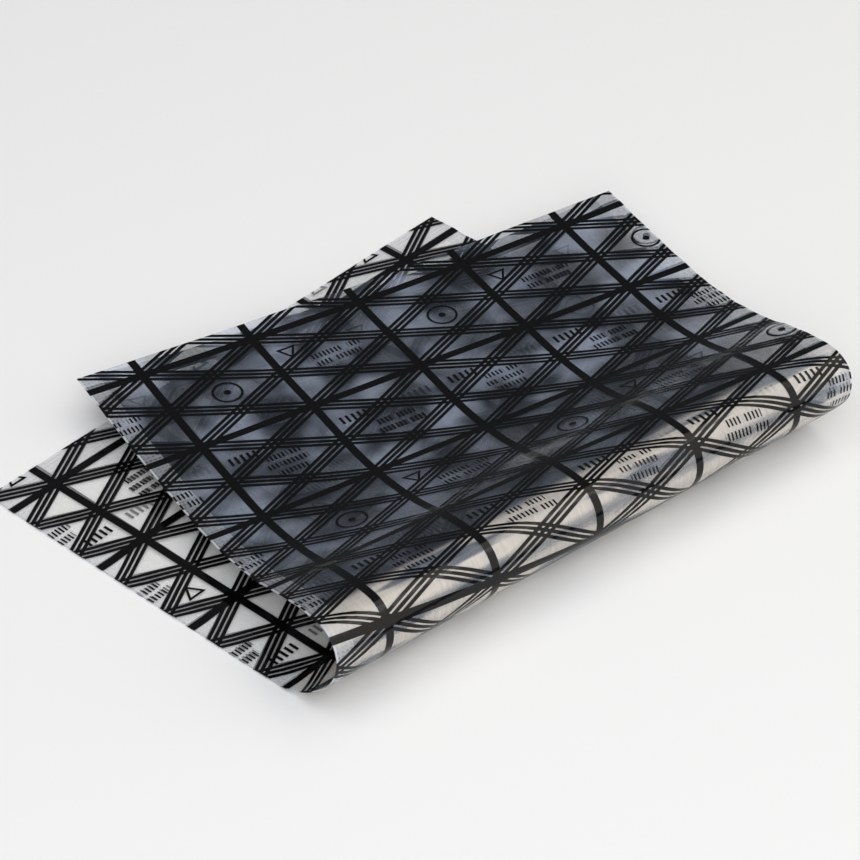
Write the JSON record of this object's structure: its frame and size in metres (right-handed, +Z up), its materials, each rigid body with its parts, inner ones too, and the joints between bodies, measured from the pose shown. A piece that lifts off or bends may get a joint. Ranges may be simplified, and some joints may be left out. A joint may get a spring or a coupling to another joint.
{
  "type": "anti-static grid bag",
  "caption": "Flat pouch of clear anti-static film with a black conductive grid print, heat sealed on its sides and end, open at its mouth and folded over into a soft roll.",
  "frame": {"origin": "middle of the footprint, on the surface that the lower leaf rests on", "axes": "+X along the roll of the fold, +Z up; the roll is at the front (-Y) and both loose ends point to the back (+Y)"},
  "size_m": [0.1854, 0.1338, 0.022],
  "materials": {
    "film": "clear glossy polyethylene film with a smoky blue-grey cast and a black carbon grid print"
  },
  "bodies": {
    "root": {"bag": "film"}
  },
  "joints": []
}
